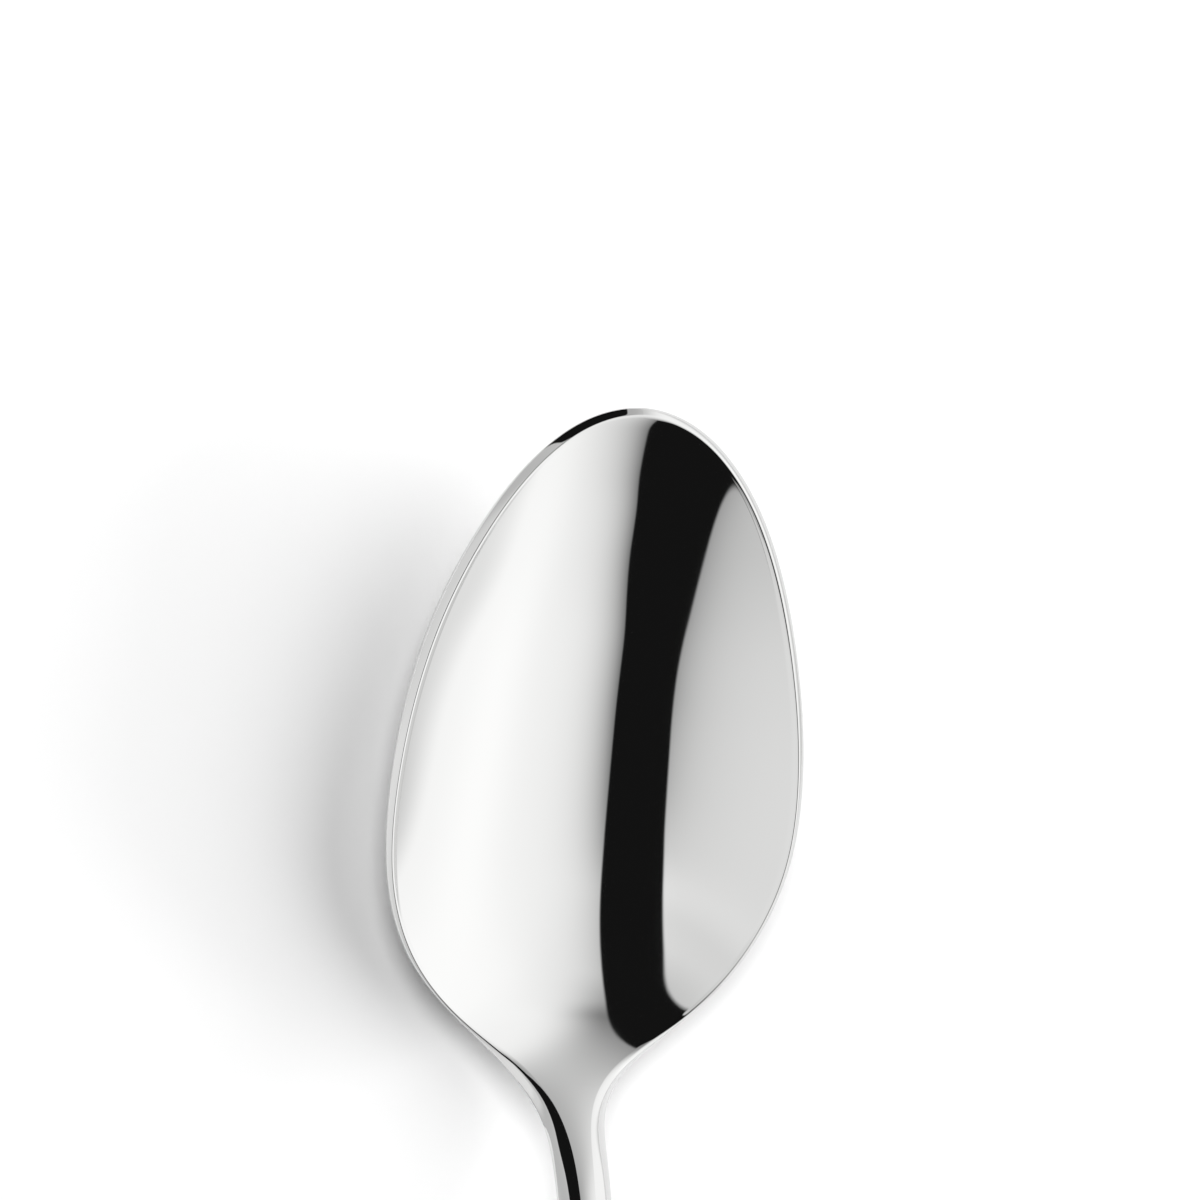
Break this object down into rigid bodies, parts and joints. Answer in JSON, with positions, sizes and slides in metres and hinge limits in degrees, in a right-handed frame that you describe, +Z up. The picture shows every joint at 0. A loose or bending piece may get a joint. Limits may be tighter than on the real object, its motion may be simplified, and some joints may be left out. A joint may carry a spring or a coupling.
{
  "type": "dessert spoon",
  "caption": "Polished steel dessert spoon with an egg-shaped dished bowl, a slim rising neck and a plain arched handle that lies flat at its rounded end.",
  "frame": {"origin": "centre of the spoon's outline in plan, on the table plane that the belly of the bowl and the end of the handle rest on", "axes": "+Y along the spoon towards the tip of the bowl, +Z up out of the bowl, +X across the bowl"},
  "size_m": [0.039, 0.185, 0.0232],
  "materials": {
    "polished_steel": "mirror-polished stainless steel, with fine wiping marks"
  },
  "bodies": {
    "root": {"bowl": "polished_steel", "neck": "polished_steel", "handle": "polished_steel"}
  },
  "joints": []
}
